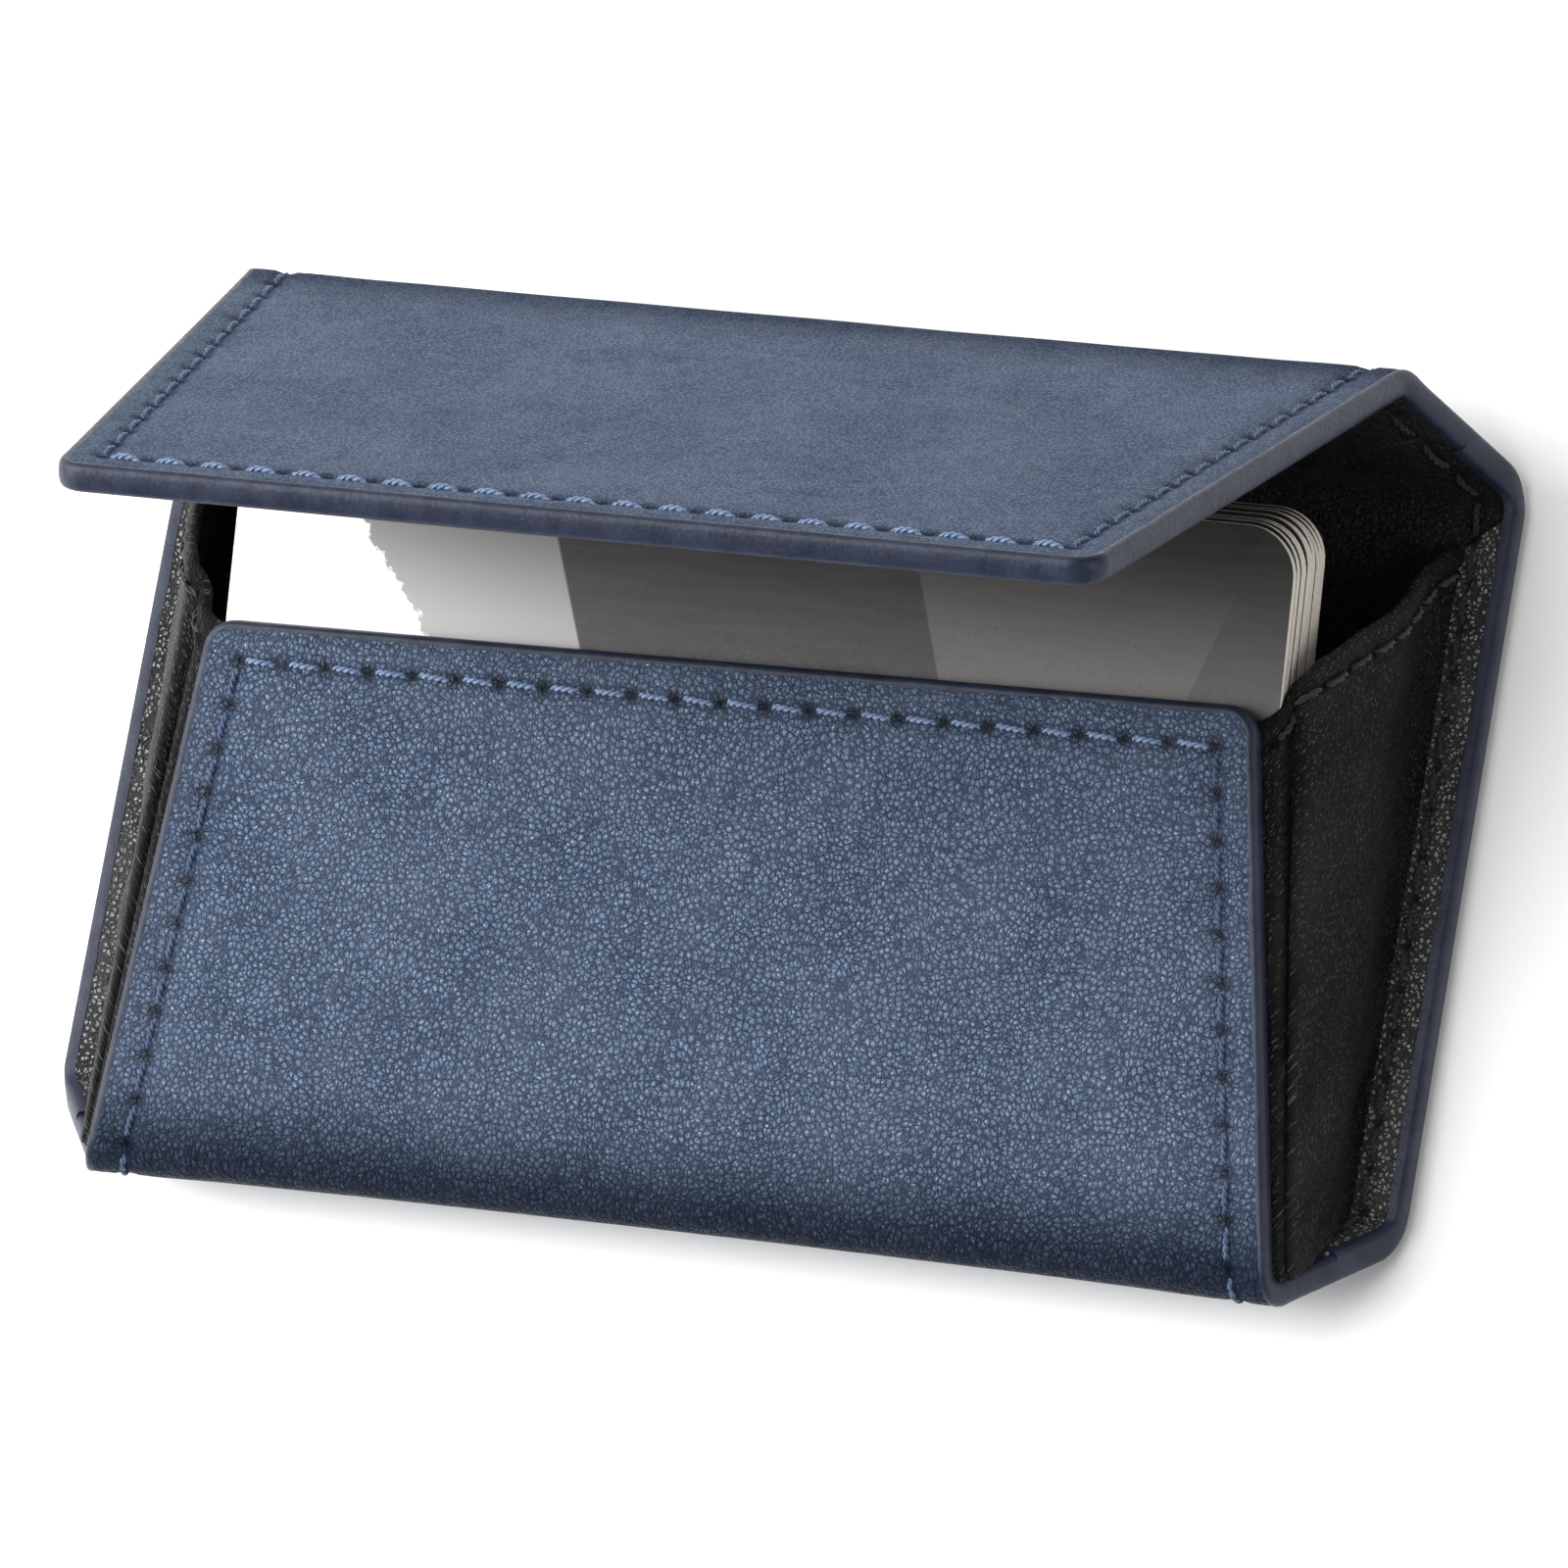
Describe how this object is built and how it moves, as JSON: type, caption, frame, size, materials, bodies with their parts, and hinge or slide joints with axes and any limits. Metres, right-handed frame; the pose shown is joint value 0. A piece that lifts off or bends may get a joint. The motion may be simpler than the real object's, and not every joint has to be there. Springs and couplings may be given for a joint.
{
  "type": "card holder",
  "caption": "Flap-over leather card holder: a gusseted front pocket holds a stack of cards, and a folding flap with hidden magnets closes over it.",
  "frame": {"origin": "centre of the back panel's outer face, which the holder lies on", "axes": "+X across the width to the right of the front panel, +Y up the back panel to the flap's fold, +Z out of the back panel towards the front panel"},
  "size_m": [0.11, 0.0738, 0.0624],
  "materials": {
    "outer_leather": "pebble grained, semi matte",
    "lining_leather": "fine grained, semi matte",
    "edge_paint": "smooth rounded edge paint",
    "board": "raw board",
    "thread": "twisted polyester thread",
    "magnet": "nickel plated",
    "card": "satin coated"
  },
  "bodies": {
    "back": {"back_cover": "outer_leather", "back_board": "board", "back_lining": "lining_leather", "back_edge_paint": "edge_paint", "back_stitching": "thread", "left_gusset": "lining_leather", "right_gusset": "lining_leather"},
    "top_strip": {"top_cover": "outer_leather", "top_board": "board", "top_lining": "lining_leather", "top_edge_paint": "edge_paint"},
    "flap": {"flap_cover": "outer_leather", "flap_board": "board", "flap_lining": "lining_leather", "flap_edge_paint": "edge_paint", "flap_stitching": "thread", "flap_magnets": "magnet"},
    "front": {"bottom_cover": "outer_leather", "bottom_board": "board", "bottom_lining": "lining_leather", "bottom_edge_paint": "edge_paint", "front_cover": "outer_leather", "front_board": "board", "front_lining": "lining_leather", "front_edge_paint": "edge_paint", "front_stitching": "thread", "front_magnets": "magnet", "card_stack": "card"}
  },
  "joints": [
    {"name": "top_fold", "type": "hinge", "parent": "back", "child": "top_strip", "pos_m": [0, 0.02974, 0.001], "axis": [1, 0, 0], "range_deg": [-24, 20]},
    {"name": "flap_fold", "type": "hinge", "parent": "top_strip", "child": "flap", "pos_m": [0, 0.03422, 0.01331], "axis": [1, 0, 0], "range_deg": [-46, 38.2]},
    {"name": "front_fold", "type": "hinge", "parent": "back", "child": "front", "pos_m": [0, -0.02974, 0.001], "axis": [1, 0, 0], "range_deg": [-12.7, 15.3], "deforming": ["left_gusset", "right_gusset"]}
  ],
  "couplings": [
    {"joint": "flap_fold", "follows": "top_fold", "ratio": 1.91},
    {"joint": "front_fold", "follows": "top_fold", "ratio": -0.635}
  ]
}
